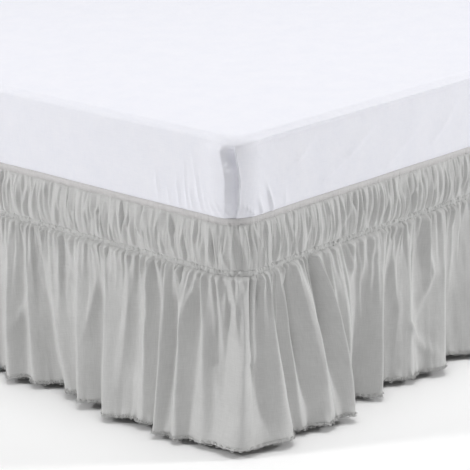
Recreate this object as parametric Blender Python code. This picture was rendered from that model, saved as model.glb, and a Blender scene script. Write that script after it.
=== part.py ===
"""A gathered bed skirt held by elastic round a bed base, which carries a mattress in a fitted sheet.

Metres, +Z up. The origin is on the floor, under the middle of the bed: +X runs across the bed and +Y
from its foot to its head. The skirt is a puffed heading between a binding and a gathering strip, with
a deep ruffle below them, and both cloths are joined from four widths whose joins lie mid-side.

Places along the skirt are measured round the base's outline, in metres, from the middle of the rounded
corner at +X, -Y: positive up the long side at +X, negative along the foot.
"""

import math
import random
from collections import namedtuple

import bpy
from mathutils import Vector

# The bed, at its full size
BASE_WIDTH = 1.52
BASE_LENGTH = 2.03
CORNER_RADIUS = 0.055
LEG_HEIGHT = 0.19
BASE_HEIGHT = 0.225
MATTRESS_HEIGHT = 0.15

# The skirt: a 16 inch drop from its top edge to its hem
SKIRT_DROP = 0.406
BINDING_HEIGHT = 0.0125
HEADING_HEIGHT = 0.083
STRIP_HEIGHT = 0.0105
CLOTH = 0.0015
ELASTIC = 0.0030

GAP = 0.0003
CORNER_STEPS = 6

BASE_TOP = LEG_HEIGHT + BASE_HEIGHT
SKIRT_TOP = BASE_TOP + 0.002
HEADING_TOP = SKIRT_TOP - BINDING_HEIGHT - GAP
HEADING_BOTTOM = HEADING_TOP - HEADING_HEIGHT
STRIP_TOP = HEADING_BOTTOM - GAP
RUFFLE_TOP = STRIP_TOP - STRIP_HEIGHT - GAP
HEM = SKIRT_TOP - SKIRT_DROP

ARC = math.pi * CORNER_RADIUS / 2
SIDES = (BASE_LENGTH - 2 * CORNER_RADIUS, BASE_WIDTH - 2 * CORNER_RADIUS) * 2
OUTLINE_LENGTH = sum(SIDES) + 4 * ARC
CORNER_CENTRES = [
    (BASE_WIDTH / 2 - CORNER_RADIUS, CORNER_RADIUS - BASE_LENGTH / 2),
    (BASE_WIDTH / 2 - CORNER_RADIUS, BASE_LENGTH / 2 - CORNER_RADIUS),
    (CORNER_RADIUS - BASE_WIDTH / 2, BASE_LENGTH / 2 - CORNER_RADIUS),
    (CORNER_RADIUS - BASE_WIDTH / 2, CORNER_RADIUS - BASE_LENGTH / 2),
]

# A fold of the ruffle. Its crest starts at the place "seam" under the gathering strip, passes the place
# "half" half way down and ends at the place "hem". There the crest stands "crest" out from the base's
# side, and the valley after it "valley". The valley lies at the share "turn" of the way to the next crest.
Fold = namedtuple("Fold", "seam half hem crest turn valley")
CORNER_FOLDS = [
    Fold(seam=-0.640, half=-0.624, hem=-0.605, crest=0.066, turn=0.45, valley=0.034),
    Fold(seam=-0.562, half=-0.541, hem=-0.511, crest=0.076, turn=0.46, valley=0.042),
    Fold(seam=-0.508, half=-0.488, hem=-0.456, crest=0.060, turn=0.45, valley=0.018),
    Fold(seam=-0.452, half=-0.424, hem=-0.366, crest=0.056, turn=0.50, valley=0.042),
    Fold(seam=-0.372, half=-0.343, hem=-0.318, crest=0.082, turn=0.55, valley=0.048),
    Fold(seam=-0.291, half=-0.266, hem=-0.237, crest=0.098, turn=0.68, valley=0.068),
    Fold(seam=-0.191, half=-0.172, hem=-0.153, crest=0.076, turn=0.50, valley=0.060),
    Fold(seam=-0.154, half=-0.124, hem=-0.107, crest=0.097, turn=0.45, valley=0.078),
    Fold(seam=-0.090, half=-0.085, hem=-0.060, crest=0.092, turn=0.60, valley=0.068),
    Fold(seam=-0.052, half=-0.033, hem=-0.030, crest=0.078, turn=0.30, valley=0.074),
    Fold(seam=0.014, half=0.008, hem=0.000, crest=0.112, turn=0.50, valley=0.096),
    Fold(seam=0.050, half=0.040, hem=0.038, crest=0.102, turn=0.60, valley=0.068),
    Fold(seam=0.084, half=0.086, hem=0.088, crest=0.078, turn=0.35, valley=0.074),
    Fold(seam=0.146, half=0.158, hem=0.140, crest=0.101, turn=0.50, valley=0.090),
    Fold(seam=0.190, half=0.219, hem=0.206, crest=0.109, turn=0.50, valley=0.032),
    Fold(seam=0.240, half=0.278, hem=0.252, crest=0.046, turn=0.45, valley=0.026),
    Fold(seam=0.395, half=0.356, hem=0.320, crest=0.080, turn=0.45, valley=0.026),
    Fold(seam=0.475, half=0.452, hem=0.434, crest=0.062, turn=0.35, valley=0.054),
    Fold(seam=0.582, half=0.549, hem=0.514, crest=0.082, turn=0.40, valley=0.030),
    Fold(seam=0.690, half=0.672, hem=0.655, crest=0.078, turn=0.45, valley=0.034),
]

# The ruffle's other folds are as uneven as those, and are drawn within these ranges
FOLD_SEED = 7
FOLD_WIDTHS = (0.052, 0.122)
FOLD_CRESTS = (0.062, 0.098)
FOLD_TURNS = (0.35, 0.60)
FOLD_VALLEYS = (0.020, 0.050)
FOLD_DRIFT = 0.030
CORNER_REACH = 0.12
CORNER_VALLEY = 0.080
CORNER_CREST = 0.106

# How the ruffle widens from its gathered top (0) to its hem (1)
RUFFLE_ROWS = (0.0, 0.09, 0.40, 1.0)
CREST_GROWTH = 0.75
VALLEY_GROWTH = 1.5
TOP_STAND = 0.0024
SIDE_STAND = 0.0034
TOP_GATHER = 0.0012
HEM_UNEVEN = 0.006
# Where a fold's columns lie, as shares of the way from its crest (0) to the valley beside it (1)
FLANK_SHARES = (0.36, 0.75)
JOIN_TAB = 0.004

# The heading's ridges
RIDGE_SEED = 3
RIDGE_WIDTHS = (0.036, 0.056)
CORNER_RIDGE = 0.55
HEADING_ROWS = (0.0, 0.5, 1.0)
RIDGE_STAND = 0.0165
GROOVE_STAND = 0.0060
RIM_STAND = 0.0018
RIM_RIDGE = 0.0007
RIDGE_LEAN = 0.006

LEG_INSET = 0.12
LEG_TOP_RADIUS = 0.028
LEG_FOOT_RADIUS = 0.020
LEG_SIDES = 12

# The skirt's cloths, round from the middle of the foot
PANELS = ("foot_right", "head_right", "head_left", "foot_left")


def clear_scene():
    for old in list(bpy.data.objects):
        bpy.data.objects.remove(old, do_unlink=True)


def material(name, colour, roughness, metallic=0.0):
    made = bpy.data.materials.new(name)
    made.use_nodes = True
    shader = made.node_tree.nodes["Principled BSDF"]
    shader.inputs["Base Color"].default_value = (*colour, 1.0)
    shader.inputs["Roughness"].default_value = roughness
    shader.inputs["Metallic"].default_value = metallic
    return made


def new_object(name, points, faces, finish, smooth_angle=None):
    mesh = bpy.data.meshes.new(name)
    mesh.from_pydata(points, [], faces)
    mesh.validate()
    mesh.materials.append(finish)
    if smooth_angle is not None:
        mesh.shade_smooth()
        mesh.set_sharp_from_angle(angle=smooth_angle)
    made = bpy.data.objects.new(name, mesh)
    bpy.context.scene.collection.objects.link(made)
    return made


def outline_point(place, out):
    """The point at a place round the base's outline, moved outwards by out."""
    left = (place + ARC / 2) % OUTLINE_LENGTH
    for number, (centre, side) in enumerate(zip(CORNER_CENTRES, SIDES)):
        start = math.radians(90 * number - 90)
        angle = start + min(left, ARC) / CORNER_RADIUS
        outwards = Vector((math.cos(angle), math.sin(angle)))
        point = Vector(centre) + outwards * (CORNER_RADIUS + out)
        left -= ARC
        if left <= 0:
            return point
        if left <= side:
            return point + Vector((-outwards.y, outwards.x)) * left
        left -= side
    return point


def corner_places():
    """The place of the middle of each corner."""
    places = [0.0]
    for side in SIDES[:3]:
        places.append(places[-1] + ARC + side)
    return places


def ring(out, height):
    """One loop round the base, with short chords only where the corners are."""
    points = []
    for corner in corner_places():
        for step in range(CORNER_STEPS + 1):
            flat = outline_point(corner + ARC * (step / CORNER_STEPS - 0.5), out)
            points.append((flat.x, flat.y, height))
    return points


def loft(name, profile, closed, finish, smooth_angle=None):
    """Rings through the profile's (out, height) points, going up its outer side.

    A closed profile makes a band round the base. An open one is capped, and makes a solid block.
    """
    rings = [ring(out, height) for out, height in profile]
    across = len(rings[0])
    points = [point for one in rings for point in one]
    faces = []
    for lower in range(len(rings) if closed else len(rings) - 1):
        upper = (lower + 1) % len(rings)
        for step in range(across):
            after = (step + 1) % across
            faces.append(
                (
                    lower * across + step,
                    lower * across + after,
                    upper * across + after,
                    upper * across + step,
                )
            )
    if not closed:
        faces.append(tuple(reversed(range(across))))
        top = (len(rings) - 1) * across
        faces.append(tuple(range(top, top + across)))
    return new_object(name, points, faces, finish, smooth_angle)


def thicken(obj, thickness, offset):
    wall = obj.modifiers.new("cloth thickness", "SOLIDIFY")
    wall.thickness = thickness
    wall.offset = offset


def make_base(finish):
    """The upholstered base, a plain box with softened edges."""
    edge = 0.006
    profile = [
        (-edge, LEG_HEIGHT),
        (0.0, LEG_HEIGHT + edge),
        (0.0, BASE_TOP - edge),
        (-edge, BASE_TOP),
    ]
    loft("bed_base", profile, False, finish)


def make_legs(finish):
    """Six tapered round legs under the base, three along each side."""
    across = BASE_WIDTH / 2 - LEG_INSET
    along = BASE_LENGTH / 2 - LEG_INSET
    for side, x in (("left", -across), ("right", across)):
        for end, y in (("foot", -along), ("middle", 0.0), ("head", along)):
            points = []
            for radius, z in ((LEG_FOOT_RADIUS, 0.0), (LEG_TOP_RADIUS, LEG_HEIGHT - GAP)):
                for step in range(LEG_SIDES):
                    turn = 2 * math.pi * step / LEG_SIDES
                    points.append((x + radius * math.cos(turn), y + radius * math.sin(turn), z))
            faces = [tuple(reversed(range(LEG_SIDES))), tuple(range(LEG_SIDES, 2 * LEG_SIDES))]
            for step in range(LEG_SIDES):
                after = (step + 1) % LEG_SIDES
                faces.append((step, after, after + LEG_SIDES, step + LEG_SIDES))
            new_object(f"leg_{end}_{side}", points, faces, finish, math.radians(60))


def mattress_profile(grow):
    """The mattress's side, from its tucked bottom edge to its rounded top edge, grown by grow."""
    floor = BASE_TOP + GAP
    under = 0.010
    over = 0.018
    points = []
    for turn in (90, 60, 30, 0):
        angle = math.radians(turn)
        out = -under + (under + grow) * math.cos(angle)
        points.append((out, floor + under - (under + grow) * math.sin(angle)))
    for turn in (0, 30, 60, 90):
        angle = math.radians(turn)
        out = -over + (over + grow) * math.cos(angle)
        points.append((out, floor + MATTRESS_HEIGHT - over + (over + grow) * math.sin(angle)))
    return points


MATTRESS_INSET = 0.001
SHEET = 0.002
# The sheet's pleat at a corner: at these places from the corner's middle it stands this far out
Pleat = namedtuple("Pleat", "place stand")
PLEAT = [
    Pleat(place=-0.050, stand=0.0000),
    Pleat(place=-0.034, stand=0.0030),
    Pleat(place=-0.018, stand=0.0020),
    Pleat(place=-0.010, stand=0.0008),
    Pleat(place=0.004, stand=0.0008),
    Pleat(place=0.009, stand=0.0085),
    Pleat(place=0.018, stand=0.0070),
    Pleat(place=0.034, stand=0.0020),
    Pleat(place=0.050, stand=0.0000),
]


def make_mattress(finish):
    profile = [(out - MATTRESS_INSET, height) for out, height in mattress_profile(0.0)]
    loft("mattress", profile, False, finish, math.radians(50))


def make_sheet(finish):
    """The fitted sheet, drawn over the mattress with one pleat at each corner and tucked under its edge."""
    profile = mattress_profile(GAP)[1:]
    # how far the pleat shows at each height: it fades into the top and is pressed flat at the tuck
    shown = (0.0, 0.4, 0.8, 1.0, 0.5, 0.1, 0.0)
    points = []
    across = 4 * len(PLEAT)
    for (out, height), share in zip(profile, shown):
        for corner in corner_places():
            for pleat in PLEAT:
                stand = out - MATTRESS_INSET + share * pleat.stand
                flat = outline_point(corner + pleat.place, stand)
                points.append((flat.x, flat.y, height))
    faces = []
    for lower in range(len(profile) - 1):
        for step in range(across):
            after = (step + 1) % across
            below, above = lower * across, (lower + 1) * across
            faces.append((below + step, below + after, above + after, above + step))
    top = (len(profile) - 1) * across
    faces.append(tuple(range(top, top + across)))
    made = new_object("fitted_sheet", points, faces, finish, math.radians(50))
    thicken(made, SHEET, 1.0)


def make_binding(finish):
    """The elastic in its folded binding, along the skirt's top edge."""
    bottom = SKIRT_TOP - BINDING_HEIGHT
    profile = [
        (GAP, bottom),
        (GAP + ELASTIC, bottom),
        (GAP + ELASTIC + 0.0004, SKIRT_TOP - BINDING_HEIGHT / 2),
        (GAP + ELASTIC - 0.0008, SKIRT_TOP),
        (GAP, SKIRT_TOP),
    ]
    loft("top_binding", profile, True, finish)


def make_strip(finish):
    """The elastic gathering strip between the heading and the ruffle."""
    bottom = STRIP_TOP - STRIP_HEIGHT
    profile = [
        (GAP, bottom),
        (GAP + ELASTIC, bottom),
        (GAP + ELASTIC + 0.0015, STRIP_TOP - STRIP_HEIGHT / 2),
        (GAP + ELASTIC, STRIP_TOP),
        (GAP, STRIP_TOP),
    ]
    loft("gathering_strip", profile, True, finish)


def nearest_corner(place):
    """How far a place is from the middle of the nearest corner."""
    ends = corner_places() + [OUTLINE_LENGTH]
    return min(abs(place % OUTLINE_LENGTH - corner) for corner in ends)


def all_folds():
    """Every fold of the ruffle in order round the base, the hand-set ones first."""
    rng = random.Random(FOLD_SEED)
    folds = list(CORNER_FOLDS)
    last = folds[0].hem + OUTLINE_LENGTH
    span = last - folds[-1].hem
    widths = []
    while sum(widths) < span:
        widths.append(rng.uniform(*FOLD_WIDTHS))
    scale = span / sum(widths)
    place = folds[-1].hem
    for width in widths[:-1]:
        place += width * scale
        crest = rng.uniform(*FOLD_CRESTS)
        valley = rng.uniform(*FOLD_VALLEYS)
        near = max(0.0, 1 - nearest_corner(place) / CORNER_REACH)
        crest += (CORNER_CREST - crest) * near
        valley += (CORNER_VALLEY - valley) * near
        seam = place + rng.uniform(-FOLD_DRIFT, FOLD_DRIFT)
        folds.append(Fold(seam, (seam + place) / 2, place, crest, rng.uniform(*FOLD_TURNS), valley))
    return folds


def crest_place(fold, down):
    """Where a crest is at one height: on the smooth path through its three known places."""
    upper = (1 - down) * (1 - 2 * down)
    lower = down * (2 * down - 1)
    return fold.seam * upper + fold.half * (1 - upper - lower) + fold.hem * lower


def lobe(share):
    """1 at a fold's crest and 0 at the valley beside it."""
    return 0.5 + 0.5 * math.cos(math.pi * share)


def valley_stand(fold, down):
    near_top = min(1.0, down / RUFFLE_ROWS[1])
    close = TOP_STAND + (SIDE_STAND - TOP_STAND) * near_top
    return close + (fold.valley - SIDE_STAND) * down**VALLEY_GROWTH


def crest_stand(fold, down):
    close = TOP_STAND + TOP_GATHER
    return close + (fold.crest - close) * down**CREST_GROWTH


def hem_height(place):
    """The hem's height: it hangs a little unevenly."""
    turn = 2 * math.pi * place / OUTLINE_LENGTH
    wave = 0.5 + 0.25 * math.sin(17 * turn) + 0.25 * math.sin(41 * turn + 1.0)
    return HEM + HEM_UNEVEN * wave


def column(place, stand, down):
    flat = outline_point(place, stand)
    return (flat.x, flat.y, RUFFLE_TOP + (hem_height(place) - RUFFLE_TOP) * down)


def valley_place(fold, following, down):
    start = crest_place(fold, down)
    return start + (crest_place(following, down) - start) * fold.turn


def fold_columns(fold, following, down, tab):
    """The points of one fold at one height, from its crest to just before the next fold's crest.

    With a tab, the valley holds two more points, one on each side of the join between two cloths.
    """
    valley = valley_place(fold, following, down)
    low = valley_stand(fold, down)
    start, high = crest_place(fold, down), crest_stand(fold, down)
    points = [column(start, high, down)]
    for share in FLANK_SHARES:
        points.append(column(start + (valley - start) * share, low + (high - low) * lobe(share), down))
    if tab:
        for beside in (-JOIN_TAB, -GAP, GAP, JOIN_TAB):
            points.append(column(valley + beside, low, down))
    else:
        points.append(column(valley, low, down))
    end, high = crest_place(following, down), crest_stand(following, down)
    for share in reversed(FLANK_SHARES):
        points.append(column(end + (valley - end) * share, low + (high - low) * lobe(share), down))
    return points


def join_places():
    """The middles of the four sides, from the long side at +X round to the foot."""
    return [
        corner + ARC / 2 + side / 2 for corner, side in zip(corner_places(), SIDES)
    ]


def sheet_of(name, rows, finish):
    """A cloth through rows of points, top row first, thickened about its middle."""
    across = len(rows[0])
    points = [point for row in rows for point in row]
    faces = []
    for upper in range(len(rows) - 1):
        for step in range(across - 1):
            here = upper * across + step
            faces.append((here, here + across, here + across + 1, here + 1))
    made = new_object(name, points, faces, finish, math.radians(50))
    thicken(made, CLOTH, 0.0)


def cut_into_panels(name, rows, joins, finish):
    """Cuts rows that run once round the base at four joins, and makes a cloth of each part.

    A join is the number of the last column before it. The first panel crosses the rows' start.
    """
    rows = [row[joins[-1] + 1 :] + row[: joins[-1] + 1] for row in rows]
    shift = len(rows[0]) - (joins[-1] + 1)
    ends = [join + shift + 1 for join in joins[:3]] + [len(rows[0])]
    start = 0
    for panel, end in zip(PANELS, ends):
        sheet_of(f"{name}_{panel}", [row[start:end] for row in rows], finish)
        start = end


def make_ruffle(finish):
    """The ruffle: folds that start as small gathers under the strip and open towards the hem."""
    folds = all_folds()
    first = folds[0]
    again = first._replace(
        seam=first.seam + OUTLINE_LENGTH,
        half=first.half + OUTLINE_LENGTH,
        hem=first.hem + OUTLINE_LENGTH,
    )
    following = folds[1:] + [again]
    middles = [valley_place(fold, after, 1.0) for fold, after in zip(folds, following)]
    joined = []
    for join in join_places():
        misses = [abs(middle - join) for middle in middles]
        joined.append(misses.index(min(misses)))
    rows = []
    for down in RUFFLE_ROWS:
        row, ends = [], []
        for number, (fold, after) in enumerate(zip(folds, following)):
            tab = number in joined
            row += fold_columns(fold, after, down, tab)
            if tab:
                ends.append(len(row) - len(FLANK_SHARES) - 3)
        rows.append(row)
    cut_into_panels("ruffle", rows, ends, finish)


def make_heading(finish):
    """The puffed heading: narrow ridges, flat at both edges and standing out between them."""
    rng = random.Random(RIDGE_SEED)
    joins = join_places()
    starts = [joins[-1] - OUTLINE_LENGTH] + joins[:-1]
    for panel, start, end in zip(PANELS, starts, joins):
        widths = []
        while sum(widths) < end - start:
            width = rng.uniform(*RIDGE_WIDTHS)
            # narrower ridges follow the base round its corners
            if nearest_corner(start + sum(widths) + width / 2) < ARC:
                width *= CORNER_RIDGE
            widths.append(width)
        scale = (end - start - 2 * GAP) / sum(widths)
        rows = [[] for _ in HEADING_ROWS]
        place = start + GAP
        for width in widths:
            lean = rng.uniform(-RIDGE_LEAN, RIDGE_LEAN)
            height = rng.uniform(0.75, 1.0)
            for row, down in zip(rows, HEADING_ROWS):
                swell = math.sin(math.pi * down)
                groove = RIM_STAND + (GROOVE_STAND - RIM_STAND) * swell
                ridge = RIM_STAND + RIM_RIDGE + (RIDGE_STAND * height - RIM_STAND) * swell
                z = HEADING_TOP - HEADING_HEIGHT * down
                middle = place + width * scale / 2 + lean * (0.5 - down)
                for where, stand in ((place, groove), (middle, ridge)):
                    flat = outline_point(where, stand)
                    row.append((flat.x, flat.y, z))
            place += width * scale
        for row, down in zip(rows, HEADING_ROWS):
            groove = RIM_STAND + (GROOVE_STAND - RIM_STAND) * math.sin(math.pi * down)
            flat = outline_point(place, groove)
            row.append((flat.x, flat.y, HEADING_TOP - HEADING_HEIGHT * down))
        sheet_of(f"heading_{panel}", rows, finish)


def main():
    clear_scene()
    grey_cloth = material("grey microfibre", (0.50, 0.50, 0.49), 0.85)
    white_cotton = material("white cotton", (0.85, 0.86, 0.88), 0.9)
    ticking = material("mattress ticking", (0.80, 0.80, 0.78), 0.9)
    base_cloth = material("base cover", (0.55, 0.53, 0.50), 0.9)
    beech = material("beech legs", (0.45, 0.28, 0.15), 0.5)
    make_base(base_cloth)
    make_legs(beech)
    make_mattress(ticking)
    make_sheet(white_cotton)
    make_binding(grey_cloth)
    make_heading(grey_cloth)
    make_strip(grey_cloth)
    make_ruffle(grey_cloth)


main()
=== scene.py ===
# %% [markdown]
# # A gathered bed skirt
#
# A bed skirt hides the base and the legs of a bed. This one wraps round the base from outside and is
# held by elastic, so the mattress never has to be lifted. From the top down it is a smooth binding with
# elastic in it, a shirred heading that puffs out between two tight edges, a ruched gathering strip, and
# a deep ruffle that hangs to the floor.
#
# Everything is worked out from the base's outline. A place along the skirt is measured round that
# outline in metres, from the middle of the rounded corner nearest the camera: positive up the long side
# at +X, negative along the foot of the bed.

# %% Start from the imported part
import math
import random
from collections import namedtuple

import bmesh
import bpy
import numpy as np
from mathutils import Matrix, Vector


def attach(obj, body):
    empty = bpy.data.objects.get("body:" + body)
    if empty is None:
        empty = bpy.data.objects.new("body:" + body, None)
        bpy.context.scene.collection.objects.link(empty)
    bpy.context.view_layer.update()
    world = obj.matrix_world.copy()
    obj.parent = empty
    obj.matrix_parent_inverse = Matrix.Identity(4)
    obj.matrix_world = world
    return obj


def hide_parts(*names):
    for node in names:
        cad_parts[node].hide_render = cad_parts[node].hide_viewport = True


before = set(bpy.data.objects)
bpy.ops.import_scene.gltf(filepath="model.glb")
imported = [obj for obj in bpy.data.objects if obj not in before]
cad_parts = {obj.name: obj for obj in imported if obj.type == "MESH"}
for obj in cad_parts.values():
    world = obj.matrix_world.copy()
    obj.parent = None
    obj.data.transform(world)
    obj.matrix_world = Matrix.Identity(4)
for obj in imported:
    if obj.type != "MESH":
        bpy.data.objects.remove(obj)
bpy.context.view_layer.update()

# %% [markdown]
# ## The sizes
#
# These are the sizes of the solids that the scene dresses: the base of a queen bed, and a skirt with a
# 16 inch drop.

# %% Sizes
BASE_WIDTH, BASE_LENGTH, CORNER_RADIUS = 1.52, 2.03, 0.055
BASE_TOP, MATTRESS_HEIGHT = 0.415, 0.15
SKIRT_TOP, SKIRT_DROP = BASE_TOP + 0.002, 0.406
BINDING_HEIGHT, HEADING_HEIGHT, STRIP_HEIGHT, GAP = 0.0125, 0.083, 0.0105, 0.0003
HEADING_TOP = SKIRT_TOP - BINDING_HEIGHT - GAP
HEADING_BOTTOM = HEADING_TOP - HEADING_HEIGHT
STRIP_BOTTOM = HEADING_BOTTOM - GAP - STRIP_HEIGHT
RUFFLE_TOP = STRIP_BOTTOM - GAP
HEM = SKIRT_TOP - SKIRT_DROP
MATTRESS_TOP = BASE_TOP + GAP + MATTRESS_HEIGHT
# how far a gathered edge is caught inside the band that it is sewn to
SEAM = 0.0028

ARC = math.pi * CORNER_RADIUS / 2
SIDES = (BASE_LENGTH - 2 * CORNER_RADIUS, BASE_WIDTH - 2 * CORNER_RADIUS) * 2
OUTLINE_LENGTH = sum(SIDES) + 4 * ARC
CORNERS = [0.0]
for side in SIDES[:3]:
    CORNERS.append(CORNERS[-1] + ARC + side)
MIDDLES = [corner + ARC / 2 + side / 2 for corner, side in zip(CORNERS, SIDES)]
CORNER_CENTRES = [
    (BASE_WIDTH / 2 - CORNER_RADIUS, CORNER_RADIUS - BASE_LENGTH / 2),
    (BASE_WIDTH / 2 - CORNER_RADIUS, BASE_LENGTH / 2 - CORNER_RADIUS),
    (CORNER_RADIUS - BASE_WIDTH / 2, BASE_LENGTH / 2 - CORNER_RADIUS),
    (CORNER_RADIUS - BASE_WIDTH / 2, CORNER_RADIUS - BASE_LENGTH / 2),
]
PANELS = ("foot_right", "head_right", "head_left", "foot_left")
print(f"round the base: {OUTLINE_LENGTH:.3f} m")

# %% [markdown]
# ## From a place to a point
#
# Each cloth is a grid: one direction runs along the skirt and the other down it. The grid holds, for
# every point, its place along the skirt, how far it stands out from the base, and its height. One
# function turns those three into a point in space, so a fold is only ever a number that rises and falls.
# The grids are worked out finely all round. The mesh keeps every column at the corner that the photograph
# looks at, every second one along the two sides that it shows and every fourth one elsewhere.

# %% The outline, and a mesh from a grid
SHOWN, CLOSE = (-0.74, 0.82), 0.09


def wrapped(place):
    """A place as the nearest way round from the photographed corner."""
    return (place + OUTLINE_LENGTH / 2) % OUTLINE_LENGTH - OUTLINE_LENGTH / 2


def on_outline(place, out):
    """x and y of each place round the base's outline, moved outwards by out."""
    place, out = np.broadcast_arrays(place, out)
    left = np.mod(place + ARC / 2, OUTLINE_LENGTH)
    x, y = np.zeros_like(left), np.zeros_like(left)
    begin = 0.0
    for number, (centre, side) in enumerate(zip(CORNER_CENTRES, SIDES)):
        here = (left >= begin) & (left < begin + ARC + side)
        along = np.where(here, left - begin, 0.0)
        angle = math.radians(90 * number - 90) + np.minimum(along, ARC) / CORNER_RADIUS
        straight = np.maximum(along - ARC, 0.0)
        far = CORNER_RADIUS + out
        x = np.where(here, centre[0] + np.cos(angle) * far - np.sin(angle) * straight, x)
        y = np.where(here, centre[1] + np.sin(angle) * far + np.cos(angle) * straight, y)
        begin += ARC + side
    return x, y


def even_columns(pitch):
    """How many columns go once round the skirt, their spacing and their places."""
    count = 4 * round(OUTLINE_LENGTH / pitch / 4)
    return count, OUTLINE_LENGTH / count, np.arange(count) * OUTLINE_LENGTH / count


def thinned(start, end, step):
    """The columns from start to end that the mesh keeps."""
    numbers = np.arange(start, end + 1)
    seen = wrapped(numbers * step)
    shown = (seen > SHOWN[0]) & (seen < SHOWN[1])
    keep = (np.abs(seen) < CLOSE) | (shown & (numbers % 2 == 0)) | (numbers % 4 == 0)
    keep[[0, -1]] = True
    return numbers[keep]


def grid_mesh(name, points, cloth, wrap=None):
    """A smooth mesh of a grid of points (rows down, columns along), with the cloth's own metres as UVs.

    With wrap, the last column runs on to the first, and wrap is the cloth's length once round.
    """
    rows, across = points.shape[:2]
    number = np.arange(rows * across).reshape(rows, across)
    if wrap:
        number = np.concatenate([number, number[:, :1]], 1)
    quads = np.stack([number[:-1, :-1], number[1:, :-1], number[1:, 1:], number[:-1, 1:]], -1)
    mesh = bpy.data.meshes.new(name)
    mesh.from_pydata(points.reshape(-1, 3).tolist(), [], quads.reshape(-1, 4).tolist())
    places = cloth.reshape(-1, 2)[quads]
    if wrap:
        places[:, -1, 2:, 0] += wrap
    layer = mesh.uv_layers.new(name="cloth")
    layer.data.foreach_set("uv", places.reshape(-1).astype(np.float32))
    mesh.shade_smooth()
    made = bpy.data.objects.new(name, mesh)
    bpy.context.scene.collection.objects.link(made)
    return made


def soften(values, spacing, reach):
    """Smooths rows of values that run once round the skirt. reach is the blur's size in metres."""
    waves = np.fft.rfftfreq(values.shape[-1], spacing)
    return np.fft.irfft(np.fft.rfft(values) * np.exp(-2 * (math.pi * reach * waves) ** 2), values.shape[-1])


def uneven(seed, spacing, shape, reach):
    """Smooth chance values between -1 and 1, as long as reach."""
    noise = soften(np.random.default_rng(seed).normal(size=shape), spacing, reach)
    return np.clip(noise / (2.2 * noise.std()), -1, 1)


# how far a corner pushes the gathers out, where it does so most, and how soon that fades either way
BULGE, BULGE_AT, BULGE_BEFORE, BULGE_AFTER = 0.009, 0.028, 0.035, 0.06


def bulge(place):
    """How far the gathered cloth is pushed outwards where it turns a corner."""
    total = 0.0
    for corner in CORNERS:
        away = wrapped(place - corner) - BULGE_AT
        before, after = np.exp(-((away / BULGE_BEFORE) ** 2)), np.exp(-np.abs(away) / BULGE_AFTER)
        total = total + np.where(away < 0, before, after)
    return BULGE * total


def triangles(obj):
    return sum(len(face.vertices) - 2 for face in obj.data.polygons)


# %% [markdown]
# ## The ruffle's main folds
#
# A gathered cloth hangs in folds that start as small gathers under the stitching and open towards the
# hem. Each row of the table is one fold, read off the photograph: the place of its crest under the
# strip, half way down and at the hem, how far the crest stands out at the hem, and where and how deep
# the valley after it is. The folds outside the photograph are drawn at random in the same ranges. The
# solids have these folds too, so the fine cloth and the solids agree.

# %% Main folds
Fold = namedtuple("Fold", "seam half hem crest turn valley")
CORNER_FOLDS = [
    Fold(seam=-0.640, half=-0.624, hem=-0.605, crest=0.066, turn=0.45, valley=0.034),
    Fold(seam=-0.562, half=-0.541, hem=-0.511, crest=0.076, turn=0.46, valley=0.042),
    Fold(seam=-0.508, half=-0.488, hem=-0.456, crest=0.060, turn=0.45, valley=0.018),
    Fold(seam=-0.452, half=-0.424, hem=-0.366, crest=0.056, turn=0.50, valley=0.042),
    Fold(seam=-0.372, half=-0.343, hem=-0.318, crest=0.082, turn=0.55, valley=0.048),
    Fold(seam=-0.291, half=-0.266, hem=-0.237, crest=0.098, turn=0.68, valley=0.068),
    Fold(seam=-0.191, half=-0.172, hem=-0.153, crest=0.076, turn=0.50, valley=0.060),
    Fold(seam=-0.154, half=-0.124, hem=-0.107, crest=0.097, turn=0.45, valley=0.078),
    Fold(seam=-0.090, half=-0.085, hem=-0.060, crest=0.092, turn=0.60, valley=0.068),
    Fold(seam=-0.052, half=-0.033, hem=-0.030, crest=0.078, turn=0.30, valley=0.074),
    Fold(seam=0.014, half=0.008, hem=0.000, crest=0.112, turn=0.50, valley=0.096),
    Fold(seam=0.050, half=0.040, hem=0.038, crest=0.102, turn=0.60, valley=0.068),
    Fold(seam=0.084, half=0.086, hem=0.088, crest=0.078, turn=0.35, valley=0.074),
    Fold(seam=0.146, half=0.158, hem=0.140, crest=0.101, turn=0.50, valley=0.090),
    Fold(seam=0.190, half=0.219, hem=0.206, crest=0.109, turn=0.50, valley=0.032),
    Fold(seam=0.240, half=0.278, hem=0.252, crest=0.046, turn=0.45, valley=0.026),
    Fold(seam=0.395, half=0.356, hem=0.320, crest=0.080, turn=0.45, valley=0.026),
    Fold(seam=0.475, half=0.452, hem=0.434, crest=0.062, turn=0.35, valley=0.054),
    Fold(seam=0.582, half=0.549, hem=0.514, crest=0.082, turn=0.40, valley=0.030),
    Fold(seam=0.690, half=0.672, hem=0.655, crest=0.078, turn=0.45, valley=0.034),
]
FOLD_SEED = 7
FOLD_WIDTHS, FOLD_CRESTS = (0.052, 0.122), (0.062, 0.098)
FOLD_TURNS, FOLD_VALLEYS = (0.35, 0.60), (0.020, 0.050)
FOLD_DRIFT = 0.030
CORNER_REACH, CORNER_VALLEY, CORNER_CREST = 0.12, 0.080, 0.106


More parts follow.
